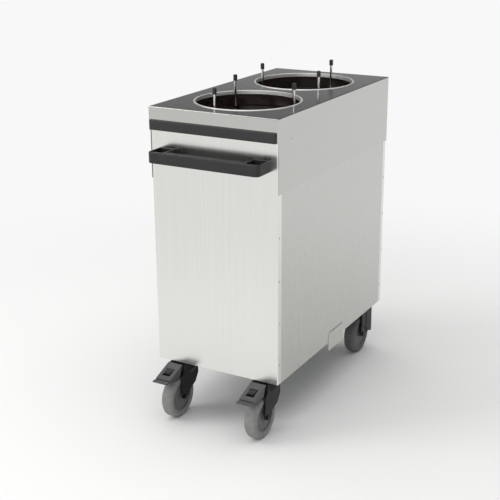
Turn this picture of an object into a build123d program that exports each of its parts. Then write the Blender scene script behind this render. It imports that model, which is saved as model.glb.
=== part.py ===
from build123d import *
import os
from math import cos, radians, sin

# Two-well plate dispenser cart: a sheet steel cabinet on two fixed and two swivel casters.
# Each well holds a stack of plates on a carrier that three hidden springs push up.
#
# Frame: the origin is on the floor, under the middle of the cart's outline. +Z is up, the
# front with its handle and pedals faces -Y, and "right" is the +X side.

os.makedirs("parts", exist_ok=True)

# ---------------------------------------------------------------- driving dimensions, mm
# Cabinet
cabinet_width = 385.0        # over the side panels
cabinet_depth = 717.0        # front panel to rear panel
worktop_height = 900.0       # floor to the hood's top sheet
foot_height = 170.0          # floor to the foot of the panels
sheet = 1.5                  # panels and hood
bend_radius = 3.0
corner_flange = 20.0         # front and rear panels fold this far onto the sides
seam = 0.3                   # gap between sheets that meet edge to edge
slip = 0.1                   # clearance of parts that slip into each other
beyond = 1.0                 # how far a cut runs past the face it opens
head_sides = 8               # rivet and screw heads, as regular polygons
shank_sides = 6              # their shanks and holes
hex_sides = 6                # bolt heads and nuts

# Hood, bumper strip
hood_clearance = 0.3         # hood skirt to side panel
hood_edge_radius = 2.0
fascia_proud = 6.0           # hood's front wall ahead of the front panel
fascia_height = 35.0         # above the bumper strip
strip_height = 27.0
strip_thickness = 7.0
strip_inset = 3.0            # strip's ends inside the cabinet's sides
strip_edge_radius = 2.5
skirt_depth = 197.0          # hood's side walls, below the worktop
skirt_screw = (69.5, 63.0)   # behind the front panel, below the worktop
screw_shank = 2.0            # radius
screw_head = 3.2             # radius
screw_dome = 1.2

# Wells
well_radius = 143.5
well_pitch = 340.0
collar_wall = 1.5
collar_neck = 9.0            # below the worktop
collar_lip = 5.5
collar_lip_thickness = 1.2
collar_edge = 0.5            # bevel of the lip's edges
liner_wall = 1.2
liner_floor = 1.5
liner_drain_radius = 30.0

# Carriers and their drop frames
carrier_radius = 137.0
carrier_depth = 41.0         # below the worktop, stack empty
carrier_sheet = 2.0
carrier_rim = 12.0
carrier_slot = 16.0          # slot width, round the guide rods
carrier_stop = 52.0          # lowest place of the hook arms above the deck
column_radius = 15.0
column_wall = 2.0
column_length = 165.0        # carrier to the underside of the hook arms
hook_arm_height = 10.0
hook_arm_width = 5.0
hook_arm_reach = 172.0       # from the well's centre
hook_slot = 10.0             # liner slot that a hook arm passes through
hook_slot_end = 4.0          # slot's ends past the hook arm's travel

# Springs and their hangers
spring_circle = 160.0
spring_radius = 8.0
hanger_depth = 41.0          # hanger's top face, below the worktop
hanger_thickness = 3.0
hanger_ring_radius = 155.0
hanger_ear_width = 18.0

# Guide rods
rod_count = 3
first_rod_angle = -104.3     # front well; the rear well is turned by half a turn
rod_circle = 127.0
rod_radius = 3.5
rod_travel = 30.0            # towards the well's centre
rod_foot_rise = 16.0         # lower end above the deck
rod_stand = 50.0             # cap's top above the worktop
cap_radius = 5.75
cap_height = 17.0
cap_crown = 4.0              # plastic above the rod's end
cap_edge = 1.5
blade_height = 12.0
blade_width = 4.0
blade_reach = 187.0          # from the well's centre
upper_blade = 63.0           # blade's middle, below the worktop
blade_window = 0.5           # liner window's margin round a blade
sleeve_reach = 178.0
sleeve_width = 10.0
sleeve_height = 18.0

# Handle
handle_inset = 25.0          # each end inside the cabinet's side
handle_drop = 48.0           # bumper strip's underside to the handle's top
handle_reach = 60.0          # ahead of the front panel
handle_height = 30.0
handle_grip = 22.0           # bar's thickness
handle_leg = 47.5
handle_wall = 4.0
handle_corner = 14.0
handle_edge = 2.5
handle_screw_inset = 39.0    # from the handle's end
handle_screw_setback = 12.0  # from the front panel
handle_screw_head = 4.0      # radius
handle_screw_dome = 2.4
handle_ledge = 14.0          # screw ledge below the handle's top
handle_ledge_length = 24.0
tab_depth = 6.0              # tab's top face below the screw ledge
tab_thickness = 3.0
tab_width = 20.0
tab_length = 21.0
tab_flange = 24.0            # bracket's flange behind the panel

# Base
rail_wall = 2.0
rail_flange = 30.0
rail_foot = 1.5              # rails start this far above the panels' foot
deck_rise = 40.0             # top of the deck sheet above the panels' foot
deck_sheet = 2.0
gusset_thickness = 4.0
gusset_size = (111.0, 97.0)  # across, along
post_leg = 25.0
post_wall = 2.0

# Rivets
rivet_radius = 1.6
rivet_head_radius = 3.2
rivet_head = 1.2
rivet_hole_radius = 1.65
corner_rivet_edge = 7.5      # from the front or rear face
corner_rivet_foot = 56.0     # lowest rivet above the panels' foot
corner_rivet_pitch = 120.0
corner_rivet_count = 4
sill_rivet_foot = 6.0
sill_rivet_pitch = 115.0
sill_rivet_count = 5
sill_rivet_end = 43.6        # outermost sill rivets, from the front and rear faces

# Small plate below the right sill
sill_plate_length = 100.0
sill_plate_height = 57.0
sill_plate_drop = 26.0       # below the panels' foot
sill_plate_offset = 11.5     # its middle, behind the cabinet's middle
sill_plate_radius = 4.0
sill_plate_rivet_y = 45.0    # its second rivet, behind the cabinet's middle

# Casters
wheel_radius = 62.5
tyre_width = 38.0
tyre_tread = 15.0            # width of the flat running face
tyre_flank = 50.0            # radius where the tyre is widest
caster_inset = 57.4          # wheel's middle from the cabinet's side
front_axle_setback = 2.4     # behind the front panel
rear_axle_setback = 56.5     # ahead of the rear panel
swivel_trail = 37.0          # king pin behind the axle
fork_half_width = 26.0
fork_wall = 5.0
fork_edge = 2.0
axle_radius = 4.0
axle_head_radius = 6.0       # to its flats
axle_head = 3.0
running = 0.06               # radial clearance of a turning fit
side_play = 0.3              # end clearance of a turning part
hub_radius = 43.0
hub_rim_width = 33.0
hub_rim_lip = 4.0            # rim's ring around the disc
hub_disc_width = 29.0
hub_boss_radius = 11.0
hub_pocket_count = 6
hub_pocket_depth = 1.5
hub_pocket_reach = (18.0, 34.0)   # inner and outer end
hub_rib_width = 6.0          # between two pockets

# Caster plates, king pin and bolts
plate_thickness = 5.0
plate_size = (90.0, 68.0)    # across, along
plate_foot = 1.0             # plate's underside above the panels' foot
bolt_spacing = (74.0, 50.0)
bolt_neck = 8.0              # square neck that keeps a bolt from turning
bolt_head_radius = 6.5       # to the flats, as the nut's
bolt_head = 3.0
nut_height = 6.5
race_radius = 30.0
kingpin_radius = 6.0
kingpin_flange_radius = 11.0
kingpin_flange = 3.0

# Front fork, measured from the wheel's axle
fork_head_radius = 37.0
fork_head_top = 101.5
fork_head_skirt = 80.0       # foot of the head's upright wall
fork_head_edge = 3.0
fork_shoulder = 60.0         # where the head's cone meets the cheeks
fork_front = -13.4
fork_front_top = 66.5
fork_rear_foot = 48.0
fork_tail = (57.0, 24.0)
fork_sole = (29.0, 12.0)     # rear end of the cheek's thick part
fork_sole_front = 31.0       # height of that part's front end
fork_tongue = (27.0, 1.0)    # rear end of the thin tongue under it
fork_tongue_step = 1.5       # tongue's face behind the cheek's face
fork_rear_bend = 12.0
fork_boss_radius = 8.0
fork_roof = 76.0             # inside, over the wheel
fork_shell = 4.5             # rear wall
wheel_clearance = 4.0
brake_slot_foot = 70.0
brake_slot_top = 96.0
brake_slot_half_width = 15.3

# Brake pedal, measured from the wheel's axle
pedal_half_width = 23.0
pedal_wall = 2.5
pedal_skin = 3.4
pedal_heel = (-7.4, 102.5)
pedal_brow = (-73.0, 79.5)   # where the slope ends above the toe lip
pedal_lip_reach = 90.4
pedal_lip_top = 77.0
pedal_lip = 3.2
pedal_groove = (2.5, 4.5)    # length and depth of the groove behind the lip
pedal_belly = (-58.0, 70.0)
pedal_heel_foot = (-20.0, 72.0)
pedal_pivot = (9.6, 83.5)
pedal_tail_radius = 6.0
pedal_tail_start = -36.0
pedal_tail_cover = 2.0       # tail's top below the pedal's heel
pedal_pin_radius = 4.0
pedal_pin_half_length = 19.0
pedal_window = (-58.0, -30.0)
pedal_window_half_width = 12.0
pedal_window_depth = 7.0
rocker_half_width = 10.0
rocker_front = -52.0
rocker_rear_gap = 2.0
rocker_rise = 2.8
rocker_rib = (2.2, 1.0)      # width and height of a grip rib
rocker_rib_pitch = 6.5

# Fixed rear fork, measured from the wheel's axle
housing_rear = 67.0
housing_rear_foot = (-11.0, -4.0)  # cheek's foot at the rear wall and near the wheel
housing_step = 45.0          # where the foot's slope ends
housing_brow = (-32.0, 86.0)  # front lower corner of the head
housing_drop = 0.5           # head's top below the panels' foot
housing_rib_y = 22.0
housing_rib = (2.5, 1.0)     # width and height of the cheek's upright rib
seat_radius = 24.0           # round seat between the head and its plate

# ---------------------------------------------------------------- derived positions
front_overhang = pedal_lip_reach - front_axle_setback
rear_overhang = housing_rear - rear_axle_setback
front_y = (front_overhang - cabinet_depth - rear_overhang) / 2
rear_y = front_y + cabinet_depth
mid_y = (front_y + rear_y) / 2
side_x = cabinet_width / 2
inner_x = side_x - sheet
hood_x = side_x + hood_clearance + sheet
roof_z = worktop_height - sheet          # underside of the top sheet
skirt_foot_z = worktop_height - skirt_depth
strip_top_z = worktop_height - fascia_height
strip_foot_z = strip_top_z - strip_height
fascia_y = front_y - fascia_proud

ENDS = ("front", "rear")
SIDES = {"left": -1, "right": 1}
well_y = {"front": mid_y - well_pitch / 2, "rear": mid_y + well_pitch / 2}
rod_angles = {
    end: [first_rod_angle + turn + 360.0 / rod_count * k for k in range(rod_count)]
    for end, turn in zip(ENDS, (0.0, 180.0))
}
hook_angle = 180.0 / rod_count           # hook arms stand midway between the rods

collar_outer = well_radius + collar_wall
liner_inner = collar_outer + slip
liner_outer = liner_inner + liner_wall
deck_height = foot_height + deck_rise
carrier_z = worktop_height - carrier_depth
hook_arm_z = carrier_z - carrier_sheet - column_length
lowest_hook_arm_z = deck_height + carrier_stop
spring_foot_z = hook_arm_z + hook_arm_height
hanger_z = worktop_height - hanger_depth - hanger_thickness
rod_foot_z = deck_height + rod_foot_rise
blade_z = (rod_foot_z, worktop_height - upper_blade - blade_height / 2)

rail_z = foot_height + rail_foot
rail_top = deck_height - deck_sheet
plate_z = foot_height + plate_foot
gusset_z = plate_z + plate_thickness
caster_x = side_x - caster_inset
front_axle_y = front_y + front_axle_setback
kingpin_y = front_axle_y + swivel_trail
rear_axle_y = rear_y - rear_axle_setback
wheel_gap = fork_half_width - fork_wall
head_rear = swivel_trail + fork_head_radius
head_top_z = wheel_radius + fork_head_top
kingpin_flange_z = wheel_radius + fork_roof - side_play
housing_top = foot_height - housing_drop - wheel_radius

handle_x = side_x - handle_inset
handle_top = strip_foot_z - handle_drop
handle_foot = handle_top - handle_height
leg_x = handle_x - handle_leg
handle_screw_x = handle_x - handle_screw_inset
handle_screw_y = front_y - handle_screw_setback
ledge_z = handle_top - handle_ledge
tab_z = ledge_z - tab_depth              # tab's top face

corner_spots_z = [foot_height + corner_rivet_foot + corner_rivet_pitch * k
                  for k in range(corner_rivet_count)]
front_spots = [(front_y + corner_rivet_edge, z) for z in corner_spots_z]
rear_spots = [(rear_y - corner_rivet_edge, z) for z in corner_spots_z]
sill_z = foot_height + sill_rivet_foot
sill_reach = sill_rivet_pitch * (sill_rivet_count - 1) / 2
sill_ys = [mid_y - sill_reach + sill_rivet_pitch * k for k in range(sill_rivet_count)]
sill_ys += [front_y + sill_rivet_end, rear_y - sill_rivet_end]
sill_spots = [(y, sill_z) for y in sill_ys]
sill_plate_y = mid_y + sill_plate_offset
sill_plate_rivet = (mid_y + sill_plate_rivet_y, sill_z)
skirt_screw_spot = (front_y + skirt_screw[0], worktop_height - skirt_screw[1])


# ---------------------------------------------------------------- helpers
def save(piece, name):
    """Label a finished piece and write it as one file of its own."""
    piece.part.label = name
    export_step(piece.part, f"parts/{name}.step")


def upright(x, y, z=0.0):
    """Section plane through an upright axis: local x points right, local y points up."""
    return Plane((x, y, z), x_dir=(1, 0, 0), z_dir=(0, -1, 0))


def side_view(x, y, z):
    """Plane seen from the right: local x points to the rear, local y points up."""
    return Plane((x, y, z), x_dir=(0, 1, 0), z_dir=(1, 0, 0))


def spoke(angle, y, z):
    """Plane at a well's centre whose local x points outwards at the angle, normal up."""
    heading = (cos(radians(angle)), sin(radians(angle)), 0)
    return Plane((0, y, z), x_dir=heading, z_dir=(0, 0, 1))


def side_holes(spots, radius, x_from, x_to):
    """Small holes through upright sheets between two distances from the middle plane."""
    for sign in (-1, 1):
        with BuildSketch(Plane.YZ.offset(sign * x_from)) as holes:
            with Locations(*spots):
                RegularPolygon(radius, shank_sides)
        extrude(holes.sketch, amount=sign * (x_to - x_from), mode=Mode.SUBTRACT)


def box_between(low, high, mode=Mode.ADD):
    """Upright box between two opposite corners."""
    size = [b - a for a, b in zip(low, high)]
    with Locations(low):
        Box(*size, align=(Align.MIN, Align.MIN, Align.MIN), mode=mode)


# ---------------------------------------------------------------- hood and bumper strip
with BuildPart() as top_hood:
    with BuildSketch(Plane.YZ.offset(-hood_x)):
        with BuildLine():
            Polyline((fascia_y, strip_foot_z), (fascia_y, worktop_height),
                     (rear_y, worktop_height), (rear_y, skirt_foot_z),
                     (front_y, skirt_foot_z), (front_y, strip_foot_z), close=True)
        make_face()
    extrude(amount=2 * hood_x)
    # The three folded top edges and the two front corners are rounded by the bend.
    folded = top_hood.edges().filter_by(Axis.Y).group_by(Axis.Z)[-1]
    folded += top_hood.edges().filter_by(Axis.X).group_by(Axis.Z)[-1].sort_by(Axis.Y)[:1]
    folded += top_hood.edges().filter_by(Axis.Z).group_by(Axis.Y)[0]
    fillet(folded, hood_edge_radius)
    # Hollow it from below and behind, and leave a hem that closes the front wall's foot.
    with BuildSketch(Plane.YZ.offset(-(hood_x - sheet))):
        with BuildLine():
            Polyline((fascia_y + sheet, strip_foot_z + sheet), (fascia_y + sheet, roof_z),
                     (rear_y, roof_z), (rear_y, skirt_foot_z),
                     (front_y, skirt_foot_z), (front_y, strip_foot_z + sheet), close=True)
        make_face()
    extrude(amount=2 * (hood_x - sheet), mode=Mode.SUBTRACT)
    with BuildSketch(Plane.XY.offset(worktop_height)):
        with Locations(*[(0, well_y[end]) for end in ENDS]):
            Circle(collar_outer + slip)
    extrude(amount=-2 * sheet, mode=Mode.SUBTRACT)
    side_holes([skirt_screw_spot], screw_shank + slip, inner_x, hood_x + sheet)
save(top_hood, "top_hood")

with BuildPart() as bumper_strip:
    strip_x = side_x - strip_inset
    box_between((-strip_x, fascia_y - strip_thickness, strip_foot_z),
                (strip_x, fascia_y, strip_top_z))
    fillet(bumper_strip.faces().sort_by(Axis.Y)[0].edges(), strip_edge_radius)
save(bumper_strip, "bumper_strip")

# ---------------------------------------------------------------- wells
for end in ENDS:
    with BuildPart() as collar:
        with BuildSketch(upright(0, well_y[end], worktop_height)):
            with BuildLine():
                Polyline((well_radius, -collar_neck), (well_radius, collar_lip_thickness),
                         (well_radius + collar_lip, collar_lip_thickness),
                         (well_radius + collar_lip, 0), (collar_outer, 0),
                         (collar_outer, -collar_neck), close=True)
            make_face()
        revolve(axis=Axis((0, well_y[end], 0), (0, 0, 1)))
        chamfer(collar.edges().group_by(Axis.Z)[-1], collar_edge)
    save(collar, f"well_collar_{end}")

    with BuildPart() as liner:
        with BuildSketch(Plane.XY.offset(deck_height)):
            with Locations((0, well_y[end])):
                Circle(liner_outer)
                Circle(liner_inner, mode=Mode.SUBTRACT)
        extrude(amount=roof_z - deck_height)
        with BuildSketch(Plane.XY.offset(deck_height)):
            with Locations((0, well_y[end])):
                Circle(liner_outer)
                Circle(liner_drain_radius, mode=Mode.SUBTRACT)
        extrude(amount=liner_floor)
        for angle in rod_angles[end]:
            # Windows for the two blades of a guide rod.
            for foot in blade_z:
                with BuildSketch(spoke(angle, well_y[end], foot - blade_window)):
                    with Locations((liner_inner, 0)):
                        Rectangle(4 * liner_wall, blade_width + 2 * blade_window)
                extrude(amount=blade_height + 2 * blade_window, mode=Mode.SUBTRACT)
            # Long slot for a hook arm of the drop frame.
            slot_foot = lowest_hook_arm_z - hook_slot_end
            with BuildSketch(spoke(angle + hook_angle, well_y[end], slot_foot)):
                with Locations((liner_inner, 0)):
                    Rectangle(4 * liner_wall, hook_slot)
            extrude(amount=spring_foot_z + hook_slot_end - slot_foot, mode=Mode.SUBTRACT)
    save(liner, f"well_liner_{end}")

# ---------------------------------------------------------------- panels
for end, face_y, inward in (("front", front_y, 1), ("rear", rear_y, -1)):
    with BuildPart() as panel:
        with BuildSketch(Plane.XY.offset(foot_height)):
            with Locations((0, face_y + inward * corner_flange / 2)):
                Rectangle(cabinet_width, corner_flange)
            outer = vertices().group_by(Axis.Y)[0 if inward > 0 else -1]
            fillet(outer, bend_radius)
            with Locations((0, face_y + inward * (corner_flange / 2 + sheet))):
                Rectangle(2 * inner_x, corner_flange, mode=Mode.SUBTRACT)
        extrude(amount=roof_z - foot_height)
        side_holes(front_spots if end == "front" else rear_spots,
                   rivet_hole_radius, inner_x - sheet, side_x + sheet)
        if end == "front":
            for sign in (-1, 1):
                # Slot that a handle bracket's tab passes through.
                tab_x = sign * handle_screw_x
                box_between((tab_x - tab_width / 2 - slip, front_y - sheet,
                             tab_z - tab_thickness - slip),
                            (tab_x + tab_width / 2 + slip, front_y + 2 * sheet,
                             tab_z + slip), mode=Mode.SUBTRACT)
    save(panel, f"{end}_panel")

for side, sign in SIDES.items():
    with BuildPart() as side_panel:
        low_x, high_x = sorted((sign * inner_x, sign * side_x))
        box_between((low_x, front_y + corner_flange + seam, foot_height),
                    (high_x, rear_y - corner_flange - seam, roof_z))
        side_holes(sill_spots, rivet_hole_radius, inner_x - sheet, side_x + sheet)
        side_holes([skirt_screw_spot], screw_shank + slip, inner_x - sheet, side_x + sheet)
        if side == "right":
            side_holes([sill_plate_rivet], rivet_hole_radius, inner_x - sheet,
                       side_x + sheet)
    save(side_panel, f"side_panel_{side}")

# ---------------------------------------------------------------- base
with BuildPart() as base_frame:
    # Angle iron rails: an upright wall behind the panels and a flange under the deck.
    frame_length = cabinet_depth - 2 * sheet
    with BuildSketch(Plane.XY.offset(rail_z)):
        with Locations((0, mid_y)):
            Rectangle(2 * inner_x, frame_length)
            Rectangle(2 * (inner_x - rail_wall), frame_length - 2 * rail_wall,
                      mode=Mode.SUBTRACT)
    extrude(amount=rail_top - rail_z)
    with BuildSketch(Plane.XY.offset(rail_top - rail_wall)):
        with Locations((0, mid_y)):
            Rectangle(2 * inner_x, frame_length)
            Rectangle(2 * (inner_x - rail_flange), frame_length - 2 * rail_flange,
                      mode=Mode.SUBTRACT)
    extrude(amount=rail_wall)
    # A gusset in each corner carries a caster plate.
    gusset_x = inner_x - gusset_size[0] / 2
    gusset_y = frame_length / 2 - gusset_size[1] / 2
    with BuildSketch(Plane.XY.offset(gusset_z)):
        with Locations(*[(sx * gusset_x, mid_y + sy * gusset_y)
                         for sx in (-1, 1) for sy in (-1, 1)]):
            Rectangle(*gusset_size)
    extrude(amount=gusset_thickness)
    with BuildSketch(Plane.XY.offset(gusset_z)):
        for axle_y in (kingpin_y, rear_axle_y):
            with Locations((-caster_x, axle_y), (caster_x, axle_y)):
                with GridLocations(*bolt_spacing, 2, 2):
                    Rectangle(bolt_neck + 2 * slip, bolt_neck + 2 * slip)
    extrude(amount=gusset_thickness, mode=Mode.SUBTRACT)
    side_holes(sill_spots, rivet_hole_radius, inner_x - rail_wall, side_x)
    with BuildSketch(Plane.YZ.offset(inner_x - rail_wall)):
        with Locations(sill_plate_rivet):
            RegularPolygon(rivet_hole_radius, shank_sides)
    extrude(amount=rail_wall, mode=Mode.SUBTRACT)
save(base_frame, "base_frame")

with BuildPart() as base_deck:
    with BuildSketch(Plane.XY.offset(rail_top)):
        with Locations((0, mid_y)):
            Rectangle(2 * inner_x, frame_length)
        with Locations(*[(0, well_y[end]) for end in ENDS]):
            Circle(liner_drain_radius, mode=Mode.SUBTRACT)
    extrude(amount=deck_sheet)
save(base_deck, "base_deck")

with BuildPart() as corner_posts:
    post_x = inner_x - post_leg / 2
    post_y = frame_length / 2 - post_leg / 2
    with BuildSketch(Plane.XY.offset(deck_height)):
        with Locations(*[(sx * post_x, mid_y + sy * post_y)
                         for sx in (-1, 1) for sy in (-1, 1)]):
            Rectangle(post_leg, post_leg)
        with Locations((0, mid_y)):
            Rectangle(2 * (inner_x - post_wall), frame_length - 2 * post_wall,
                      mode=Mode.SUBTRACT)
    extrude(amount=roof_z - deck_height)
    side_holes(front_spots + rear_spots, rivet_hole_radius, inner_x - post_wall, side_x)
save(corner_posts, "corner_posts")

with BuildPart() as sill_plate:
    with BuildSketch(Plane.YZ.offset(side_x)):
        with Locations((sill_plate_y,
                        foot_height - sill_plate_drop + sill_plate_height / 2)):
            RectangleRounded(sill_plate_length, sill_plate_height, sill_plate_radius)
        with Locations((mid_y, sill_z), sill_plate_rivet):
            RegularPolygon(rivet_hole_radius, shank_sides, mode=Mode.SUBTRACT)
    extrude(amount=sheet)
save(sill_plate, "sill_plate")

# ---------------------------------------------------------------- rivets and skirt screws
def side_fastener(spot, sign, seat_x, tip_x, shank, head, height):
    """Fastener across a side: a low head outside seat_x and a shank in to tip_x."""
    for radius, sides, start, length in ((head, head_sides, seat_x, height),
                                         (shank, shank_sides, tip_x, seat_x - tip_x)):
        with BuildSketch(Plane.YZ.offset(sign * start)) as outline:
            with Locations(spot):
                RegularPolygon(radius, sides)
        extrude(outline.sketch, amount=sign * length)


with BuildPart() as panel_rivets:
    for sign in SIDES.values():
        for spot in front_spots + rear_spots:
            side_fastener(spot, sign, side_x, inner_x - post_wall, rivet_radius,
                          rivet_head_radius, rivet_head)
        for spot in sill_spots:
            on_plate = sign > 0 and spot[0] == mid_y
            side_fastener(spot, sign, side_x + (sheet if on_plate else 0),
                          inner_x - rail_wall, rivet_radius, rivet_head_radius, rivet_head)
    side_fastener(sill_plate_rivet, 1, side_x + sheet, inner_x - rail_wall, rivet_radius,
                  rivet_head_radius, rivet_head)
save(panel_rivets, "panel_rivets")

with BuildPart() as hood_screws:
    for sign in SIDES.values():
        side_fastener(skirt_screw_spot, sign, hood_x, inner_x - sheet, screw_shank,
                      screw_head, screw_dome)
save(hood_screws, "hood_screws")

# ---------------------------------------------------------------- handle
with BuildPart() as handle_bow:
    with BuildSketch(Plane.XY.offset(handle_foot)):
        with Locations((0, front_y - handle_reach / 2)):
            Rectangle(2 * handle_x, handle_reach)
        fillet(vertices().group_by(Axis.Y)[0], handle_corner)
        # Room for the hand between the grip and the panel.
        gap_length = handle_reach - handle_grip
        with Locations((0, front_y - gap_length / 2)):
            Rectangle(2 * leg_x, gap_length, mode=Mode.SUBTRACT)
    extrude(amount=handle_height)
    rims = handle_bow.faces().filter_by(Axis.Z).edges()
    fillet([e for e in rims if e.center().Y < front_y - handle_edge], handle_edge)
    for sign in (-1, 1):
        # Pocket in the leg, open at the top, with a ledge for the screw.
        near_x, far_x = sorted((sign * (leg_x + handle_wall), sign * (handle_x - handle_wall)))
        box_between((near_x, front_y - handle_reach + handle_grip / 2, handle_foot + handle_wall),
                    (far_x, front_y - handle_ledge_length, handle_top + beyond), Mode.SUBTRACT)
        box_between((near_x, front_y - handle_ledge_length - beyond, ledge_z),
                    (far_x, front_y - handle_wall, handle_top + beyond), Mode.SUBTRACT)
        # Slot that the bracket's tab slides into, open towards the panel.
        box_between((sign * handle_screw_x - tab_width / 2 - slip, front_y - tab_length - slip,
                     tab_z - tab_thickness - slip),
                    (sign * handle_screw_x + tab_width / 2 + slip, front_y + beyond, tab_z + slip),
                    Mode.SUBTRACT)
        with Locations((sign * handle_screw_x, handle_screw_y, ledge_z)):
            Cylinder(screw_shank + slip, 2 * handle_ledge, mode=Mode.SUBTRACT)
save(handle_bow, "handle_bow")

with BuildPart() as handle_brackets:
    for sign in (-1, 1):
        low = (sign * handle_screw_x - tab_width / 2, front_y - tab_length, tab_z - tab_thickness)
        box_between(low, (sign * handle_screw_x + tab_width / 2,
                          front_y + sheet + tab_thickness, tab_z))
        box_between((low[0], front_y + sheet, tab_z - tab_flange),
                    (low[0] + tab_width, front_y + sheet + tab_thickness, tab_z))
        with Locations((sign * handle_screw_x, handle_screw_y, tab_z)):
            Cylinder(screw_shank, 3 * tab_thickness, mode=Mode.SUBTRACT)
save(handle_brackets, "handle_brackets")

with BuildPart() as handle_screws:
    for sign in (-1, 1):
        with BuildSketch(upright(sign * handle_screw_x, handle_screw_y, ledge_z)):
            with BuildLine():
                screw_tip = tab_z - tab_thickness - ledge_z
                Polyline((0, handle_screw_dome), (0, screw_tip), (screw_shank, screw_tip),
                         (screw_shank, 0), (handle_screw_head, 0),
                         (handle_screw_head - handle_screw_dome, handle_screw_dome), close=True)
            make_face()
        revolve(axis=Axis((sign * handle_screw_x, handle_screw_y, 0), (0, 0, 1)))
save(handle_screws, "handle_screws")

# ---------------------------------------------------------------- carriers and springs
for end in ENDS:
    centre_y = well_y[end]
    with BuildPart() as carrier:
        # Pressed disc with its rim turned down.
        with BuildSketch(upright(0, centre_y, carrier_z)):
            with BuildLine():
                Polyline((0, 0), (carrier_radius - carrier_sheet, 0),
                         (carrier_radius, -carrier_sheet), (carrier_radius, -carrier_rim),
                         (carrier_radius - carrier_sheet, -carrier_rim),
                         (carrier_radius - carrier_sheet, -carrier_sheet),
                         (0, -carrier_sheet), close=True)
            make_face()
        revolve(axis=Axis((0, centre_y, 0), (0, 0, 1)))
        for angle in rod_angles[end]:
            slot_start = rod_circle - rod_travel
            with BuildSketch(spoke(angle, centre_y, carrier_z - 2 * carrier_rim)):
                with Locations((slot_start, 0)):
                    Circle(carrier_slot / 2)
                with Locations((slot_start + carrier_radius / 2, 0)):
                    Rectangle(carrier_radius, carrier_slot)
            extrude(amount=3 * carrier_rim, mode=Mode.SUBTRACT)
    save(carrier, f"carrier_{end}")

    with BuildPart() as drop_frame:
        with BuildSketch(Plane.XY.offset(hook_arm_z)):
            with Locations((0, centre_y)):
                Circle(column_radius)
                Circle(column_radius - column_wall, mode=Mode.SUBTRACT)
        extrude(amount=column_length)
        for angle in rod_angles[end]:
            with BuildSketch(spoke(angle + hook_angle, centre_y, hook_arm_z)):
                with Locations((column_radius - column_wall / 2, 0)):
                    Rectangle(hook_arm_reach - column_radius + column_wall / 2,
                              hook_arm_width, align=(Align.MIN, Align.CENTER))
            extrude(amount=hook_arm_height)
    save(drop_frame, f"drop_frame_{end}")

    with BuildPart() as springs:
        # The coils are closed tubes of their outer size.
        for angle in rod_angles[end]:
            with BuildSketch(spoke(angle + hook_angle, well_y[end], spring_foot_z)):
                with Locations((spring_circle, 0)):
                    Circle(spring_radius)
            extrude(amount=hanger_z - spring_foot_z)
    save(springs, f"springs_{end}")

with BuildPart() as spring_hangers:
    for end in ENDS:
        for angle in rod_angles[end]:
            with BuildSketch(spoke(angle + hook_angle, well_y[end], hanger_z)):
                Rectangle(hook_arm_reach, hanger_ear_width, align=(Align.MIN, Align.CENTER))
            extrude(amount=hanger_thickness)
        with BuildSketch(Plane.XY.offset(hanger_z)):
            with Locations((0, well_y[end])):
                Circle(hanger_ring_radius)
        extrude(amount=hanger_thickness)
        with BuildSketch(Plane.XY.offset(hanger_z)):
            with Locations((0, well_y[end])):
                Circle(liner_outer + slip)
        extrude(amount=hanger_thickness, mode=Mode.SUBTRACT)
save(spring_hangers, "spring_hangers")

# ---------------------------------------------------------------- guide rods
with BuildPart() as rod_sleeves:
    for end in ENDS:
        for angle in rod_angles[end]:
            for foot in blade_z:
                middle = foot + blade_height / 2
                with BuildSketch(spoke(angle, well_y[end], middle - sleeve_height / 2)):
                    with Locations((liner_outer + slip, 0)):
                        Rectangle(sleeve_reach - liner_outer - slip, sleeve_width,
                                  align=(Align.MIN, Align.CENTER))
                extrude(amount=sleeve_height)
                with BuildSketch(spoke(angle, well_y[end], foot - slip)):
                    with Locations((liner_outer - beyond, 0)):
                        Rectangle(2 * sleeve_reach, blade_width + 2 * slip,
                                  align=(Align.MIN, Align.CENTER))
                extrude(amount=blade_height + 2 * slip, mode=Mode.SUBTRACT)
save(rod_sleeves, "rod_sleeves")

cap_z = worktop_height + rod_stand - cap_height
rod_top = worktop_height + rod_stand - cap_crown
for end in ENDS:
    for number, angle in enumerate(rod_angles[end], start=1):
        at = radians(angle)
        rod_x = rod_circle * cos(at)
        rod_y = well_y[end] + rod_circle * sin(at)
        with BuildPart() as guide_rod:
            with BuildSketch(Plane.XY.offset(rod_foot_z)):
                with Locations((rod_x, rod_y)):
                    Circle(rod_radius)
            extrude(amount=rod_top - rod_foot_z)
            for foot in blade_z:
                with BuildSketch(spoke(angle, well_y[end], foot)):
                    with Locations((rod_circle, 0)):
                        Rectangle(blade_reach - rod_circle, blade_width,
                                  align=(Align.MIN, Align.CENTER))
                extrude(amount=blade_height)
        save(guide_rod, f"guide_rod_{end}_{number}")

        with BuildPart() as rod_cap:
            with BuildSketch(Plane.XY.offset(cap_z)):
                with Locations((rod_x, rod_y)):
                    Circle(cap_radius)
            extrude(amount=cap_height)
            chamfer(rod_cap.edges().group_by(Axis.Z)[-1], cap_edge)
            with BuildSketch(Plane.XY.offset(cap_z)):
                with Locations((rod_x, rod_y)):
                    Circle(rod_radius)
            extrude(amount=rod_top - cap_z, mode=Mode.SUBTRACT)
        save(rod_cap, f"rod_cap_{end}_{number}")

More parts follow.
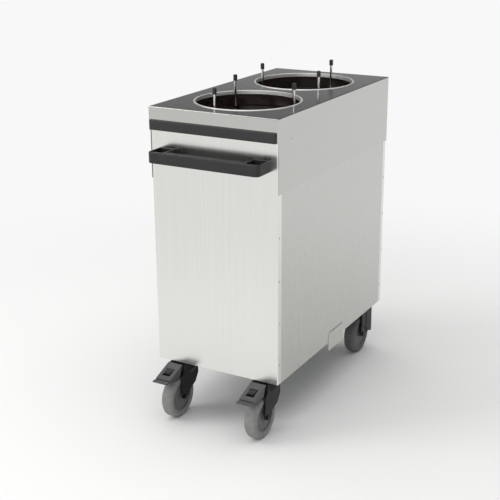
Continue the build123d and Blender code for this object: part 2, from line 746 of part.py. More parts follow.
# ---------------------------------------------------------------- caster plates and bolts
with BuildPart() as caster_plates:
    for sign in SIDES.values():
        for axle_y in (kingpin_y, rear_axle_y):
            with BuildSketch(Plane.XY.offset(plate_z)):
                with Locations((sign * caster_x, axle_y)):
                    Rectangle(*plate_size)
                    with GridLocations(*bolt_spacing, 2, 2):
                        Rectangle(bolt_neck + 2 * slip, bolt_neck + 2 * slip,
                                  mode=Mode.SUBTRACT)
            extrude(amount=plate_thickness)
        # Ball race and king pin of the swivel caster.
        with BuildSketch(upright(sign * caster_x, kingpin_y)):
            with BuildLine():
                Polyline((0, plate_z + beyond), (race_radius, plate_z + beyond),
                         (race_radius, head_top_z + side_play),
                         (kingpin_radius, head_top_z + side_play),
                         (kingpin_radius, kingpin_flange_z),
                         (kingpin_flange_radius, kingpin_flange_z),
                         (kingpin_flange_radius, kingpin_flange_z - kingpin_flange),
                         (0, kingpin_flange_z - kingpin_flange), close=True)
            make_face()
        revolve(axis=Axis((sign * caster_x, kingpin_y, 0), (0, 0, 1)))
save(caster_plates, "caster_plates")

with BuildPart() as caster_bolts:
    plate_spots = [(sign * caster_x, axle_y) for sign in SIDES.values()
                   for axle_y in (kingpin_y, rear_axle_y)]
    nut_z = gusset_z + gusset_thickness
    for foot, height in ((plate_z - bolt_head, bolt_head), (nut_z, nut_height)):
        with BuildSketch(Plane.XY.offset(foot)):
            with Locations(*plate_spots):
                with GridLocations(*bolt_spacing, 2, 2):
                    RegularPolygon(bolt_head_radius, hex_sides, major_radius=False)
        extrude(amount=height)
    with BuildSketch(Plane.XY.offset(plate_z)):
        with Locations(*plate_spots):
            with GridLocations(*bolt_spacing, 2, 2):
                Rectangle(bolt_neck, bolt_neck)
    extrude(amount=nut_z - plate_z)
save(caster_bolts, "caster_bolts")

# ---------------------------------------------------------------- casters
def cheek_cuts(view):
    """Cuts that both forks share: the tongue's step, the wheel's round room, the axle hole."""
    for start in (-fork_half_width, fork_half_width - fork_tongue_step):
        with BuildSketch(view.offset(start)) as step:
            with BuildLine():
                Polyline((2 * fork_front, fork_sole_front), (fork_front, fork_sole_front),
                         fork_sole, (fork_sole[0] + beyond, -2 * fork_boss_radius),
                         (2 * fork_front, -2 * fork_boss_radius), close=True)
            make_face()
        extrude(step.sketch, amount=fork_tongue_step, mode=Mode.SUBTRACT)
    with BuildSketch(view) as room:
        Circle(wheel_radius + wheel_clearance)
    extrude(room.sketch, amount=wheel_gap, both=True, mode=Mode.SUBTRACT)
    with BuildSketch(view) as hole:
        Circle(axle_radius + running)
    extrude(hole.sketch, amount=2 * fork_half_width, both=True, mode=Mode.SUBTRACT)


def skin_band(view, height, y_front, y_rear, upper, lower):
    """Sketch of a band that follows the pedal's slope between two distances from it."""
    with BuildSketch(view) as band:
        with BuildLine():
            Polyline((y_front, height(y_front) + lower), (y_front, height(y_front) + upper),
                     (y_rear, height(y_rear) + upper), (y_rear, height(y_rear) + lower),
                     close=True)
        make_face()
    return band.sketch


def shoulder_point(sign):
    """Middle of the tyre's rounded shoulder: a quarter of an ellipse at 45 degrees."""
    return (sign * (tyre_tread + (tyre_width - tyre_tread) * cos(radians(45))) / 2,
            tyre_flank + (wheel_radius - tyre_flank) * sin(radians(45)))


for side, sign in SIDES.items():
    x = sign * caster_x

    # Swivel fork: a round head over two cheeks and a rear wall, open to the front.
    view = side_view(x, front_axle_y, wheel_radius)
    with BuildPart() as fork:
        with BuildSketch(view):
            with BuildLine():
                Polyline((fork_front, 0), (fork_front, fork_front_top), (0, fork_head_skirt),
                         (0, fork_head_top - beyond), (head_rear, fork_head_top - beyond),
                         (head_rear, fork_rear_foot), fork_tail, fork_sole, fork_tongue,
                         (fork_boss_radius, -fork_boss_radius), (0, -fork_boss_radius),
                         close=True)
            make_face()
            fillet(vertices().sort_by_distance((head_rear, fork_rear_foot))[0], fork_rear_bend)
        extrude(amount=fork_half_width, both=True)
        chamfer(fork.faces().filter_by(Axis.X).edges(), fork_edge)
        with BuildSketch(upright(x, kingpin_y, wheel_radius)):
            with BuildLine():
                Polyline((0, fork_head_top), (fork_head_radius, fork_head_top),
                         (fork_head_radius, fork_head_skirt),
                         (fork_half_width, fork_shoulder), (0, fork_shoulder), close=True)
            make_face()
            chamfer(vertices().sort_by_distance((fork_head_radius, fork_head_top))[0],
                    fork_head_edge)
        revolve(axis=Axis((x, kingpin_y, 0), (0, 0, 1)))
        cheek_cuts(view)
        # Room for the wheel, closed at the rear by a thin wall.
        with BuildSketch(view):
            with BuildLine():
                Polyline((0, -fork_boss_radius - beyond), (0, fork_roof),
                         (head_rear - fork_shell, fork_roof),
                         (head_rear - fork_shell, fork_rear_foot),
                         (fork_tail[0] - fork_shell, fork_tail[1]),
                         (fork_tail[0] - fork_shell, -fork_boss_radius - beyond), close=True)
            make_face()
        extrude(amount=wheel_gap, both=True, mode=Mode.SUBTRACT)
        # Slot for the pedal's tail, and the holes for its pivot.
        with BuildSketch(view):
            slot_end = pedal_pivot[0] + pedal_tail_radius + side_play
            with BuildLine():
                Polyline((2 * fork_front, brake_slot_foot), (2 * fork_front, brake_slot_top),
                         (slot_end, brake_slot_top), (slot_end, brake_slot_foot), close=True)
            make_face()
        extrude(amount=brake_slot_half_width, both=True, mode=Mode.SUBTRACT)
        with BuildSketch(view):
            with Locations(pedal_pivot):
                Circle(pedal_pin_radius + running)
        extrude(amount=pedal_pin_half_length + side_play, both=True, mode=Mode.SUBTRACT)
        with BuildSketch(Plane.XY.offset(wheel_radius + fork_shoulder)):
            with Locations((x, kingpin_y)):
                Circle(kingpin_radius + running)
        extrude(amount=fork_head_top, mode=Mode.SUBTRACT)
    save(fork, f"fork_{side}")

    # Brake pedal: a thin shoe with a toe lip and a window, hinged in the fork's head.
    with BuildPart() as pedal:
        brow_y, brow_z = pedal_brow
        slope = (pedal_heel[1] - brow_z) / (pedal_heel[0] - brow_y)

        def skin_z(y):
            """Height of the pedal's sloping top face above the axle."""
            return brow_z + slope * (y - brow_y)

        with BuildSketch(view):
            groove_length, groove_depth = pedal_groove
            with BuildLine():
                Polyline(pedal_heel, pedal_brow, (brow_y, pedal_lip_top - groove_depth),
                         (brow_y - groove_length, pedal_lip_top - groove_depth),
                         (brow_y - groove_length, pedal_lip_top),
                         (-pedal_lip_reach, pedal_lip_top),
                         (-pedal_lip_reach, pedal_lip_top - pedal_lip),
                         pedal_belly, pedal_heel_foot, close=True)
            make_face()
        extrude(amount=pedal_half_width, both=True)
        # Hollow underneath and at the heel.
        with BuildSketch(view):
            hollow_front = brow_y + pedal_skin
            with BuildLine():
                Polyline((hollow_front, 0), (hollow_front, skin_z(hollow_front) - pedal_skin),
                         (0, skin_z(0) - pedal_skin), (0, 0), close=True)
            make_face()
        extrude(amount=pedal_half_width - pedal_wall, both=True, mode=Mode.SUBTRACT)
        # Tail that reaches into the head's slot and turns on two short pins, and the
        # bottom of the window's pocket.
        window_front, window_rear = pedal_window
        with BuildSketch(view):
            tail_foot = pedal_pivot[1] - pedal_tail_radius
            tail_top = pedal_pivot[1] + pedal_tail_radius
            tail_rear = pedal_heel[0] - pedal_tail_cover
            with BuildLine():
                Polyline((pedal_tail_start, skin_z(pedal_tail_start) - pedal_skin / 2),
                         (tail_rear, skin_z(tail_rear) - pedal_skin / 2),
                         (tail_rear, tail_top), (pedal_pivot[0], tail_top),
                         (pedal_pivot[0], tail_foot), (pedal_heel_foot[0], tail_foot),
                         close=True)
            make_face()
            with Locations(pedal_pivot):
                Circle(pedal_tail_radius)
        extrude(amount=brake_slot_half_width - side_play, both=True)
        with BuildSketch(view):
            with Locations(pedal_pivot):
                Circle(pedal_pin_radius)
        extrude(amount=pedal_pin_half_length, both=True)
        pocket = skin_band(view, skin_z, window_front - pedal_wall, window_rear + pedal_wall,
                           -pedal_skin / 2, -pedal_window_depth - pedal_wall)
        extrude(pocket, amount=pedal_window_half_width + pedal_wall, both=True)
        window = skin_band(view, skin_z, window_front, window_rear, rocker_rise,
                           -pedal_window_depth)
        extrude(window, amount=pedal_window_half_width, both=True, mode=Mode.SUBTRACT)
        # Rocker in the window, which rises towards the toe and has three grip ribs.
        rocker_rear = window_rear - rocker_rear_gap
        rib_width, rib_height = rocker_rib
        for half_width, rise, middles in (
                (rocker_half_width, 0.0, [0.0]),
                (rib_width / 2, rib_height, [-rocker_rib_pitch, 0.0, rocker_rib_pitch])):
            for middle in middles:
                with BuildSketch(side_view(x + middle, front_axle_y, wheel_radius)):
                    with BuildLine():
                        Polyline((rocker_rear, skin_z(rocker_rear) + rise),
                                 (rocker_front, skin_z(rocker_front) + rocker_rise + rise),
                                 (rocker_front, skin_z(rocker_front) - pedal_window_depth),
                                 (rocker_rear, skin_z(rocker_rear) - pedal_window_depth),
                                 close=True)
                    make_face()
                extrude(amount=half_width, both=True)
    save(pedal, f"brake_pedal_{side}")

    # Fixed fork of the rear caster: the same cheeks under a low head, with a rear wall
    # that reaches down to the axle.
    rear_view = side_view(x, rear_axle_y, wheel_radius)
    with BuildPart() as housing:
        wall_foot, cheek_foot = housing_rear_foot
        with BuildSketch(rear_view):
            with BuildLine():
                Polyline((fork_front, 0), (fork_front, fork_front_top), housing_brow,
                         (housing_brow[0], housing_top), (housing_rear, housing_top),
                         (housing_rear, wall_foot), (housing_step, cheek_foot),
                         (fork_tongue[0], cheek_foot), (fork_boss_radius, -fork_boss_radius),
                         (0, -fork_boss_radius), close=True)
            make_face()
        extrude(amount=fork_half_width, both=True)
        chamfer(housing.faces().filter_by(Axis.X).edges(), fork_edge)
        with BuildSketch(Plane.XY.offset(plate_z)):
            with Locations((x, rear_axle_y)):
                Circle(seat_radius)
        extrude(amount=housing_top + wheel_radius - plate_z)
        for sign_x in (-1, 1):
            # Upright rib on the cheek.
            rib_width, rib_height = housing_rib
            cheek_x = x + sign_x * fork_half_width
            low_x, high_x = sorted((cheek_x - sign_x * fork_wall / 2,
                                    cheek_x + sign_x * rib_height))
            rib_y = rear_axle_y + housing_rib_y
            box_between((low_x, rib_y - rib_width / 2, wheel_radius + fork_boss_radius),
                        (high_x, rib_y + rib_width / 2, wheel_radius + fork_front_top))
        cheek_cuts(rear_view)
        with BuildSketch(rear_view):
            with BuildLine():
                Polyline((-wheel_radius, -wheel_radius), (-wheel_radius, fork_roof),
                         (housing_rear - fork_shell / 2, fork_roof),
                         (housing_rear - fork_shell / 2, -wheel_radius), close=True)
            make_face()
        extrude(amount=wheel_gap, both=True, mode=Mode.SUBTRACT)
    save(housing, f"caster_housing_{side}")

    for end, axle_y in (("front", front_axle_y), ("rear", rear_axle_y)):
        across = upright(x, axle_y, wheel_radius)
        axis = Axis((x, axle_y, wheel_radius), (1, 0, 0))
        # Wheel core: boss, disc with pockets between its ribs, and rim, in one piece.
        with BuildPart() as hub:
            boss = wheel_gap - side_play
            disc = hub_disc_width / 2
            rim = hub_rim_width / 2
            lip_radius = hub_radius - hub_rim_lip
            with BuildSketch(across):
                with BuildLine():
                    Polyline((-boss, axle_radius + running), (-boss, hub_boss_radius),
                             (-disc, hub_boss_radius), (-disc, lip_radius),
                             (-rim, lip_radius), (-rim, hub_radius), (rim, hub_radius),
                             (rim, lip_radius), (disc, lip_radius), (disc, hub_boss_radius),
                             (boss, hub_boss_radius), (boss, axle_radius + running), close=True)
                make_face()
            revolve(axis=axis)
            pocket_near, pocket_far = hub_pocket_reach
            half_angle = 180.0 / hub_pocket_count
            near_half = pocket_near * sin(radians(half_angle)) - hub_rib_width / 2
            far_half = pocket_far * sin(radians(half_angle)) - hub_rib_width / 2
            for face_x, inward in ((-disc, 1), (disc, -1)):
                with BuildSketch(side_view(x + face_x, axle_y, wheel_radius)) as pockets:
                    with PolarLocations(0, hub_pocket_count):
                        with BuildLine():
                            Polyline((pocket_near, -near_half), (pocket_far, -far_half),
                                     (pocket_far, far_half), (pocket_near, near_half),
                                     close=True)
                        make_face()
                extrude(pockets.sketch, amount=inward * hub_pocket_depth, mode=Mode.SUBTRACT)
        save(hub, f"hub_{end}_{side}")

        # Tyre: flanks that widen away from the rim, and a rounded running face.
        with BuildPart() as tyre:
            flank = tyre_width / 2
            with BuildSketch(across):
                with BuildLine():
                    Line((tyre_tread / 2, wheel_radius), (-tyre_tread / 2, wheel_radius))
                    ThreePointArc((-tyre_tread / 2, wheel_radius), shoulder_point(-1),
                                  (-flank, tyre_flank))
                    Polyline((-flank, tyre_flank), (-rim, hub_radius), (rim, hub_radius),
                             (flank, tyre_flank))
                    ThreePointArc((flank, tyre_flank), shoulder_point(1),
                                  (tyre_tread / 2, wheel_radius))
                make_face()
            revolve(axis=axis)
        save(tyre, f"tyre_{end}_{side}")

# Axles: bolts with a hexagon head and nut outside the tongues.
def axle_bolt(x, axle_y):
    """One axle through a fork."""
    half = fork_half_width - fork_tongue_step
    middle = side_view(x, axle_y, wheel_radius)
    with BuildSketch(middle) as shank:
        Circle(axle_radius)
    extrude(shank.sketch, amount=half, both=True)
    for start in (-half - axle_head, half):
        with BuildSketch(middle.offset(start)) as head:
            RegularPolygon(axle_head_radius, hex_sides, major_radius=False)
        extrude(head.sketch, amount=axle_head)


for side, sign in SIDES.items():
    with BuildPart() as front_axle:
        axle_bolt(sign * caster_x, front_axle_y)
    save(front_axle, f"front_axle_{side}")

with BuildPart() as rear_axles:
    for sign in SIDES.values():
        axle_bolt(sign * caster_x, rear_axle_y)
save(rear_axles, "rear_axles")
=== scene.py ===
"""Studio picture of the plate dispenser cart: finishes, small detail, floor, light and camera."""
import math

import bpy
import numpy as np
from mathutils import Matrix, Vector


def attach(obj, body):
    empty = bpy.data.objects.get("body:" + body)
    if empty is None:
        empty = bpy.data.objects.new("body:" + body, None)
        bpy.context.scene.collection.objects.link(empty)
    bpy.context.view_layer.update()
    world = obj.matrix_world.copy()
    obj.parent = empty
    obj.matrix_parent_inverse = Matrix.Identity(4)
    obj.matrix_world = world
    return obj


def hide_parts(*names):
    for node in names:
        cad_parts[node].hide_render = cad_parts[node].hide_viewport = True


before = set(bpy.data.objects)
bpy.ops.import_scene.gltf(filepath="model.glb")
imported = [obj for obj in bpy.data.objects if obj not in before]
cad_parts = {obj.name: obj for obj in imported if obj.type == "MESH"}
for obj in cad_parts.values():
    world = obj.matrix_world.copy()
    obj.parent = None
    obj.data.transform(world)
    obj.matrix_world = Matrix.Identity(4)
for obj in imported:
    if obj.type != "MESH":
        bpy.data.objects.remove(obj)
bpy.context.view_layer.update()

MM = 0.001

# ---------------------------------------------------------------- camera
# Place, angles and lens that the photograph's own edges give.
CAMERA_PLACE = (1.370, -2.556, 1.420)
CAMERA_AZIMUTH = 29.42       # degrees to the right of the front's axis
CAMERA_ELEVATION = 18.84     # degrees above the level
CAMERA_ROLL = -0.41          # degrees
CAMERA_LENS = 74.33          # mm
SENSOR_WIDTH = 36.0          # mm


def make_camera():
    """Camera whose three axes are worked out from azimuth, elevation and roll."""
    azimuth, elevation, roll = (math.radians(angle) for angle in
                                (CAMERA_AZIMUTH, CAMERA_ELEVATION, CAMERA_ROLL))
    back = Vector((math.sin(azimuth) * math.cos(elevation),
                   -math.cos(azimuth) * math.cos(elevation), math.sin(elevation)))
    level = Vector((math.cos(azimuth), math.sin(azimuth), 0))
    steep = back.cross(level)
    right = level * math.cos(roll) + steep * math.sin(roll)
    up = steep * math.cos(roll) - level * math.sin(roll)
    data = bpy.data.cameras.new("camera")
    data.sensor_width = SENSOR_WIDTH
    data.lens = CAMERA_LENS
    camera = bpy.data.objects.new("camera", data)
    turn = Matrix((right, up, back)).transposed()
    camera.matrix_world = Matrix.Translation(CAMERA_PLACE) @ turn.to_4x4()
    bpy.context.scene.collection.objects.link(camera)
    bpy.context.scene.camera = camera


make_camera()


# ---------------------------------------------------------------- material tools
def linear(hex_colour):
    """Colour written as sRGB hex, such as "#808080", as linear red, green, blue and alpha."""
    parts = [int(hex_colour[i:i + 2], 16) / 255 for i in (1, 3, 5)]
    curve = [c / 12.92 if c <= 0.04045 else ((c + 0.055) / 1.055) ** 2.4 for c in parts]
    return (*curve, 1.0)


def add(tree, kind, settings=None, **inputs):
    """Adds a node: its own settings, and for each input a plain value or a socket to link.

    An input is named as Blender names it, with _ for a space, or by its number after an n.
    """
    node = tree.nodes.new(kind)
    for name, value in (settings or {}).items():
        setattr(node, name, value)
    for name, value in inputs.items():
        key = int(name[1:]) if name[1:].isdigit() else name.replace("_", " ")
        if isinstance(value, bpy.types.NodeSocket):
            tree.links.new(value, node.inputs[key])
        else:
            node.inputs[key].default_value = value
    return node


def begin(name, **values):
    """New material, its tree and its Principled shader with plain values set on its sockets."""
    material = bpy.data.materials.new(name)
    material.use_nodes = True
    shader = material.node_tree.nodes["Principled BSDF"]
    for key, value in values.items():
        shader.inputs[key.replace("_", " ")].default_value = value
    return material, material.node_tree, shader


NOISE_LOW, NOISE_HIGH = 0.3, 0.7     # nearly all of a noise texture's values lie between these


def clouds(tree, cell, detail=3.0):
    """Noise whose blotches have the given size in metres along X, Y and Z.

    The detail is how many times finer noise, half as strong each time, is laid over it.
    """
    place = add(tree, "ShaderNodeTexCoord").outputs["Object"]
    scaled = add(tree, "ShaderNodeMapping", Vector=place, Scale=tuple(1 / size for size in cell))
    noise = add(tree, "ShaderNodeTexNoise", Vector=scaled.outputs[0], Scale=1.0, Detail=detail)
    return noise.outputs["Fac"]


def finish(tree, shader, pattern, colours, roughness):
    """Lets a pattern run between two colours and between two values of roughness."""
    share = add(tree, "ShaderNodeMapRange", Value=pattern, From_Min=NOISE_LOW,
                From_Max=NOISE_HIGH)
    tone = add(tree, "ShaderNodeMix", {"data_type": "RGBA"}, n0=share.outputs[0],
               n6=linear(colours[0]), n7=linear(colours[1]))
    tree.links.new(tone.outputs[2], shader.inputs["Base Color"])
    rough = add(tree, "ShaderNodeMapRange", Value=pattern, From_Min=NOISE_LOW,
                From_Max=NOISE_HIGH, To_Min=roughness[0], To_Max=roughness[1])
    tree.links.new(rough.outputs[0], shader.inputs["Roughness"])


def emboss(tree, shader, height, depth, strength):
    """Relief from a height pattern: depth in metres, strength from 0 to 1."""
    bump = add(tree, "ShaderNodeBump", Height=height, Distance=depth, Strength=strength)
    tree.links.new(bump.outputs[0], shader.inputs["Normal"])


# ---------------------------------------------------------------- materials
# A relief's strength is the share of its depth that the light shows.
SCRATCH_WIDTH = 1.2 * MM     # brushed sheet
SCRATCH_LENGTH = 250 * MM
SCRATCH_DEPTH, SCRATCH_STRENGTH = 0.1 * MM, 0.04
SWIRL = 8 * MM               # buffed steel
BLOOM = 9 * MM               # zinc plate
WELL_MOTTLE = (60 * MM, 60 * MM, 15 * MM)   # wells' painted shade mottle: across, across and up
WELL_MOTTLE_DEPTH, WELL_MOTTLE_STRENGTH = 0.4 * MM, 0.15
PLASTIC_IOR = 1.5            # most plastics and rubber, and the wells' painted shade
CAST_TONE = 50 * MM          # mouldings
GRIT = 0.8 * MM
GRIT_DEPTH, GRIT_STRENGTH = 0.15 * MM, 0.30
DUST = 12 * MM               # tyres
RING_SPACING = 4 * MM
RING_DEPTH, RING_STRENGTH = 0.15 * MM, 0.35
WAVE_RADIANS = 20            # a wave texture of scale 1 has this many radians to the metre

# Brake pedal's window, painted over in shade: X to either side and Y of its middle, and half
# its width and length, with 0.2 mm more, so that the window's own walls are in it.
WINDOW_MIDDLE = (135.1 * MM, -361.3 * MM)
WINDOW_HALF_SIZE = (12.2 * MM, 14.2 * MM)


def brushed_stainless(name, along, colours, roughness):
    """Cold rolled 304 stainless sheet, brushed with a fine belt along one axis, then folded.

    The scratches are about 0.1 mm wide and a hand long. They are drawn 1.2 mm wide, so that
    they still show from a few steps away. The sheet mirrors its surroundings in a soft smear.
    """
    cell = [SCRATCH_WIDTH] * 3
    cell["XYZ".index(along)] = SCRATCH_LENGTH
    material, tree, shader = begin(name, Metallic=1.0)
    grain = clouds(tree, cell)
    finish(tree, shader, grain, colours, roughness)
    emboss(tree, shader, grain, SCRATCH_DEPTH, SCRATCH_STRENGTH)
    return material


def polished_stainless(name, colours, roughness):
    """304 stainless, buffed with a wheel: close to a mirror, with faint swirls 8 mm wide."""
    material, tree, shader = begin(name, Metallic=1.0)
    finish(tree, shader, clouds(tree, [SWIRL] * 3, detail=5.0), colours, roughness)
    return material


def zinc_plate(name):
    """Mild steel, zinc plated and clear passivated: a cool grey with uneven blooms 9 mm wide."""
    material, tree, shader = begin(name, Metallic=1.0)
    finish(tree, shader, clouds(tree, [BLOOM] * 3, detail=4.0), ("#8E9194", "#B4B7B9"),
           (0.28, 0.44))
    return material


def well_painted_shade(name):
    """Steel of the wells, coloured a near black brown as painted shade: glossy, and mottled.

    The mottle runs round the well in bands about 15 mm high, which break up what it mirrors.
    """
    material, tree, shader = begin(name, IOR=PLASTIC_IOR)
    mottle = clouds(tree, WELL_MOTTLE, detail=4.0)
    finish(tree, shader, mottle, ("#15110E", "#2B221D"), (0.16, 0.30))
    emboss(tree, shader, mottle, WELL_MOTTLE_DEPTH, WELL_MOTTLE_STRENGTH)
    return material


def moulded(name, colours, roughness, ior=PLASTIC_IOR):
    """Injection moulded plastic: a spark eroded grain and slow cloudy tones, a dull sheen.

    The grain on such a part is 0.1 to 0.3 mm. It is drawn 0.8 mm wide, so that it can be seen.
    """
    material, tree, shader = begin(name, IOR=ior)
    finish(tree, shader, clouds(tree, [CAST_TONE] * 3), colours, roughness)
    emboss(tree, shader, clouds(tree, [GRIT] * 3), GRIT_DEPTH, GRIT_STRENGTH)
    return material


def brake_pedal_nylon(name):
    """Injection moulded grey nylon, with painted shade, near black, over its window and rocker.

    A point is in the window where its X, on either side, and its Y are each within half the
    window's size of its middle. Both pedals share the material, so X counts without its sign.
    """
    material = moulded(name, ("#404040", "#4C4C4C"), (0.42, 0.52))
    tree = material.node_tree
    shader = tree.nodes["Principled BSDF"]
    place = add(tree, "ShaderNodeTexCoord").outputs["Object"]
    axes = add(tree, "ShaderNodeSeparateXYZ", Vector=place)
    sideways = add(tree, "ShaderNodeMath", {"operation": "ABSOLUTE"}, n0=axes.outputs["X"])
    across = add(tree, "ShaderNodeMath", {"operation": "COMPARE"}, n0=sideways.outputs[0],
                 n1=WINDOW_MIDDLE[0], n2=WINDOW_HALF_SIZE[0])
    along = add(tree, "ShaderNodeMath", {"operation": "COMPARE"}, n0=axes.outputs["Y"],
                n1=WINDOW_MIDDLE[1], n2=WINDOW_HALF_SIZE[1])
    window_shade = add(tree, "ShaderNodeMath", {"operation": "MULTIPLY"}, n0=across.outputs[0],
                 n1=along.outputs[0])
    grey = shader.inputs["Base Color"].links[0].from_socket
    # Painted shade: the window, its rocker and the pocket round it are mixed to near black.
    tone = add(tree, "ShaderNodeMix", {"data_type": "RGBA"}, n0=window_shade.outputs[0],
               n6=grey, n7=linear("#0B0B0B"))
    tree.links.new(tone.outputs[2], shader.inputs["Base Color"])
    return material


def tread_rubber(name, colours):
    """Grey non-marking rubber of the tyres, turned in a mould.

    The mould leaves rings round the tyre, 4 mm apart, so they depend on X alone. Dust dulls
    the rubber in patches about 12 mm wide.
    """
    material, tree, shader = begin(name, IOR=PLASTIC_IOR)
    finish(tree, shader, clouds(tree, [DUST] * 3, detail=5.0), colours, (0.55, 0.72))
    place = add(tree, "ShaderNodeTexCoord").outputs["Object"]
    rings = add(tree, "ShaderNodeTexWave", {"bands_direction": "X", "wave_profile": "SIN"},
                Vector=place, Scale=2 * math.pi / (WAVE_RADIANS * RING_SPACING))
    emboss(tree, shader, rings.outputs["Fac"], RING_DEPTH, RING_STRENGTH)
    return material


# Name, brushed axis where there is one, two colours and two values of roughness. The IOR of
# the handle and the casters is lower than nylon's, matched to how little they mirror here.
# Painted light and shade: front, rear and side panels are one sheet; the front and rear panels'
# copy is lighter and the side panels' and sill plate's copy darker, as light falls from the
# front.
lit_front_steel = brushed_stainless("stainless_front_lit", "Z", ("#DDDEDA", "#E3E4E0"), (0.18, 0.23))
shaded_side_steel = brushed_stainless("stainless_side_shaded", "Z", ("#C2C3BF", "#C7C8C4"), (0.24, 0.30))
hood_steel = brushed_stainless("stainless_hood", "Y", ("#BCBDB9", "#C3C4C0"), (0.15, 0.19))
collar_steel = polished_stainless("polished_collar", ("#F4F4F2", "#ECECEA"), (0.40, 0.48))
rod_steel = polished_stainless("polished_rod", ("#DCDCDA", "#CACAC8"), (0.10, 0.20))
head_steel = polished_stainless("turned_fastener", ("#D0D0CE", "#BEBEBC"), (0.20, 0.30))
plated_steel = zinc_plate("zinc_plated_steel")
# Painted shade: the wells' steel liners and the carrier are coloured near black for the shade
# deep inside the wells.
well_shade = well_painted_shade("well_painted_shade_brown")
strip_plastic = moulded("bumper_pvc", ("#1B1B1B", "#222222"), (0.46, 0.54))
handle_plastic = moulded("handle_polyamide", ("#1A1A1A", "#222222"), (0.40, 0.48), ior=1.45)
cap_plastic = moulded("cap_pvc", ("#0E0E0E", "#151515"), (0.32, 0.40))
fork_plastic = moulded("caster_polyamide", ("#070707", "#0C0C0C"), (0.42, 0.52), ior=1.38)
pedal_plastic = brake_pedal_nylon("pedal_polyamide")
hub_plastic = moulded("hub_polypropylene", ("#5A5A59", "#686867"), (0.42, 0.52))
# Painted shade: the rear hubs are a darker copy of the front hubs' plastic, for the shade under
# the cart.
shaded_rear_hub_plastic = moulded("rear_hub_polypropylene_shaded", ("#4A4A49", "#585857"), (0.42, 0.52))
tyre_rubber = tread_rubber("tyre_rubber", ("#747473", "#878786"))
# Painted shade: the rear tyres are a darker copy of the front tyres' rubber, for the shade under
# the cart.
rear_tyre_rubber_shaded = tread_rubber("rear_tyre_rubber_shaded", ("#535352", "#616160"))
axle_steel = polished_stainless("blackened_steel", ("#2A2A2C", "#38383A"), (0.35, 0.45))

# The first key that a node's name starts with gives its finish, so the rear wheels' keys come
# before those of the front ones. What has no key here is zinc plated steel.
FINISHES = {
    "top_hood": hood_steel, "front_panel": lit_front_steel, "rear_panel": lit_front_steel,
    "side_panel": shaded_side_steel, "sill_plate": shaded_side_steel, "bumper_strip": strip_plastic,
    "well_collar": collar_steel, "well_liner": well_shade, "carrier": well_shade,
    "guide_rod": rod_steel, "rod_cap": cap_plastic, "handle_bow": handle_plastic,
    "handle_screws": plated_steel, "hood_screws": head_steel, "panel_rivets": head_steel,
    "fork": fork_plastic, "caster_housing": fork_plastic, "brake_pedal": pedal_plastic,
    "hub_rear": shaded_rear_hub_plastic, "hub": hub_plastic, "tyre_rear": rear_tyre_rubber_shaded,
    "tyre": tyre_rubber, "front_axle": axle_steel, "rear_axles": axle_steel,
}


def dress_frame():
    """Gives each node of the frame its finish."""
    for name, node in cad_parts.items():
        kind = next((key for key in FINISHES if name.startswith(key)), None)
        node.data.materials.clear()
        node.data.materials.append(FINISHES.get(kind, plated_steel))


dress_frame()


# ---------------------------------------------------------------- domed heads
HEAD_HEIGHT = 1.2 * MM
HEAD_STEPS = 24              # points round one head
HEAD_RINGS = 6               # rings from the seat to the top
HEAD_SPACING = 30 * MM       # the fasteners are further apart than this, along one axis or more


def corners_of_pieces(node):
    """Low and high corner of each fastener in a node, as two arrays with one row for each.

    The node's points are sorted along X, then Y, then Z, and parted wherever two neighbours
    in that order are further from each other than the fasteners' spacing.
    """
    flat = np.empty(3 * len(node.data.vertices))
    node.data.vertices.foreach_get("co", flat)
    groups = [flat.reshape(-1, 3)]
    for axis in range(3):
        parted = []
        for group in groups:
            group = group[np.argsort(group[:, axis])]
            gaps = np.flatnonzero(np.diff(group[:, axis]) > HEAD_SPACING) + 1
            parted += np.split(group, gaps)
        groups = parted
    return (np.array([group.min(axis=0) for group in groups]),
            np.array([group.max(axis=0) for group in groups]))


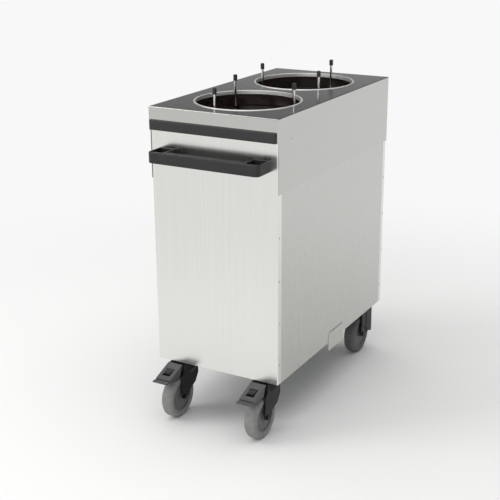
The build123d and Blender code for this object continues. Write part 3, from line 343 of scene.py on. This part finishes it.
def domed_heads(name, node_name, material):
    """Round domes in place of a node's plain fastener heads, on both sides of the cabinet.

    Each dome is a quarter of an ellipse turned about an axis along X. At a tilt from 0 at the
    seat to 90 degrees at the top, its radius is the head's radius times the cosine of the
    tilt, and it stands out by the head's height times the sine. A dome on the left side is
    the right one turned half round the cart's upright axis.
    """
    low, high = corners_of_pieces(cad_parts[node_name])
    side = np.sign(low[:, 0] + high[:, 0])
    radius = (high[:, 2] - low[:, 2]) / 2
    crown = (low + high) / 2
    crown[:, 0] = np.where(side > 0, high[:, 0], low[:, 0])

    # One dome of height and radius 1 with its top at the origin: rings from the seat, then a top.
    ring, step = np.meshgrid(np.arange(HEAD_RINGS), np.arange(HEAD_STEPS), indexing="ij")
    tilt = np.pi / 2 * ring / HEAD_RINGS
    turn = 2 * np.pi * step / HEAD_STEPS
    dome = np.stack([np.sin(tilt) - 1, np.cos(tilt) * np.cos(turn),
                     np.cos(tilt) * np.sin(turn)], axis=-1).reshape(-1, 3)
    dome = np.vstack([dome, np.zeros((1, 3))])
    scale = np.stack([side * HEAD_HEIGHT, side * radius, radius], axis=-1)
    points = crown[:, None] + dome[None] * scale[:, None]

    # Its faces: four-sided walls between rings, a fan at the top, and one face at the seat.
    here = ring * HEAD_STEPS + step
    beside = ring * HEAD_STEPS + (step + 1) % HEAD_STEPS
    walls = np.stack([here, beside, beside + HEAD_STEPS, here + HEAD_STEPS], axis=-1)[:-1]
    top = np.stack([here[-1], beside[-1], np.full(HEAD_STEPS, len(dome) - 1)], axis=-1)
    seat = here[:1, ::-1]
    first = np.arange(len(crown))[:, None, None] * len(dome)
    kinds = (walls.reshape(1, -1, 4), top[None], seat[None])
    faces = [face for kind in kinds
             for face in (kind + first).reshape(-1, kind.shape[-1]).tolist()]

    mesh = bpy.data.meshes.new(name)
    mesh.from_pydata(points.reshape(-1, 3).tolist(), [], faces)
    mesh.polygons.foreach_set("use_smooth", [len(face) < HEAD_STEPS for face in faces])
    mesh.materials.append(material)
    heads = bpy.data.objects.new(name, mesh)
    bpy.context.scene.collection.objects.link(heads)
    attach(heads, "cabinet")
    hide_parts(node_name)


domed_heads("domed_rivets", "panel_rivets", head_steel)
domed_heads("domed_screws", "hood_screws", head_steel)


# ---------------------------------------------------------------- stage and light
FLOOR_REACH = 30.0           # metres from the middle to each side of the floor
PAPER_CLOUD = 2.0            # metres across one of the paper's faint tones
NEAR_FLOOR = 0.6             # the lamps' light and the shadow show up to here ...
FAR_FLOOR = 2.2              # ... and give way to an evenly pale backdrop by here


def studio_floor():
    """Pale seamless paper, which turns into an even pale backdrop away from the cart.

    Only what the camera and the mirroring surfaces see is backdrop, so it lights nothing.
    """
    material, tree, shader = begin("floor_paper")
    finish(tree, shader, clouds(tree, [PAPER_CLOUD] * 3), ("#EAEAE9", "#EEEEED"), (0.85, 0.95))
    place = add(tree, "ShaderNodeTexCoord").outputs["Object"]
    reach = add(tree, "ShaderNodeVectorMath", {"operation": "LENGTH"}, n0=place)
    far = add(tree, "ShaderNodeMapRange", {"interpolation_type": "SMOOTHSTEP"},
              Value=reach.outputs["Value"], From_Min=NEAR_FLOOR, From_Max=FAR_FLOOR)
    ray = add(tree, "ShaderNodeLightPath")
    seen = add(tree, "ShaderNodeMath", {"operation": "MAXIMUM"},
               n0=ray.outputs["Is Camera Ray"], n1=ray.outputs["Is Glossy Ray"])
    seen = add(tree, "ShaderNodeMath", {"operation": "MAXIMUM"},
               n0=seen.outputs[0], n1=ray.outputs["Is Transmission Ray"])
    share = add(tree, "ShaderNodeMath", {"operation": "MULTIPLY"},
                n0=far.outputs[0], n1=seen.outputs[0])
    backdrop = add(tree, "ShaderNodeEmission", Color=linear("#F8F8F8"))
    mixed = add(tree, "ShaderNodeMixShader", n0=share.outputs[0],
                n1=shader.outputs[0], n2=backdrop.outputs[0])
    tree.links.new(mixed.outputs[0], tree.nodes["Material Output"].inputs["Surface"])
    corners = np.array([(-1, -1, 0), (1, -1, 0), (1, 1, 0), (-1, 1, 0)]) * FLOOR_REACH
    mesh = bpy.data.meshes.new("floor")
    mesh.from_pydata(corners.tolist(), [], [(0, 1, 2, 3)])
    mesh.materials.append(material)
    floor = bpy.data.objects.new("floor", mesh)
    bpy.context.scene.collection.objects.link(floor)


def softbox(name, place, aim, size, watts):
    """Area lamp of the given width and height that faces the aim point."""
    data = bpy.data.lights.new(name, "AREA")
    data.shape = "RECTANGLE"
    data.size, data.size_y = size
    data.energy = watts
    lamp = bpy.data.objects.new(name, data)
    facing = (Vector(aim) - Vector(place)).to_track_quat("-Z", "Y")
    lamp.matrix_world = Matrix.Translation(place) @ facing.to_matrix().to_4x4()
    bpy.context.scene.collection.objects.link(lamp)


# Height above the level as a sine, and the studio's tone there: pale walls near the floor,
# darker ones above them, which the cart's top mirrors, and a pale ceiling.
STUDIO_TONES = ((0.05, "#F8F8F8"), (0.18, "#5C5C5E"), (0.50, "#5C5C5E"), (0.75, "#F4F4F4"))


def studio_walls():
    """World that lights the cart softly from all round and above."""
    world = bpy.data.worlds.new("studio")
    world.use_nodes = True
    tree = world.node_tree
    heading = add(tree, "ShaderNodeTexCoord").outputs["Generated"]
    height = add(tree, "ShaderNodeSeparateXYZ", Vector=heading).outputs["Z"]
    ramp = add(tree, "ShaderNodeValToRGB", Fac=height)
    stops = ramp.color_ramp.elements
    while len(stops) < len(STUDIO_TONES):
        stops.new(1.0)
    for stop, (place, tone) in zip(stops, STUDIO_TONES):
        stop.position = place
        stop.color = linear(tone)
    tree.links.new(ramp.outputs["Color"], tree.nodes["Background"].inputs["Color"])
    bpy.context.scene.world = world


# Lamps: name, place, point it faces, width and height in metres, watts.
LAMPS = (
    ("overhead", (0.0, 0.0, 4.5), (0, 0, 0), (5.0, 5.0), 75),
    ("key", (-3.0, -2.4, 2.8), (0, 0, 0.4), (2.2, 2.2), 60),
    ("front_fill", (0.6, -4.5, 2.0), (0, 0, 0.4), (4.4, 3.6), 66),
)

studio_floor()
for lamp_name, lamp_place, lamp_aim, lamp_size, lamp_watts in LAMPS:
    softbox(lamp_name, lamp_place, lamp_aim, lamp_size, lamp_watts)
studio_walls()
bpy.context.scene.view_settings.view_transform = "Standard"
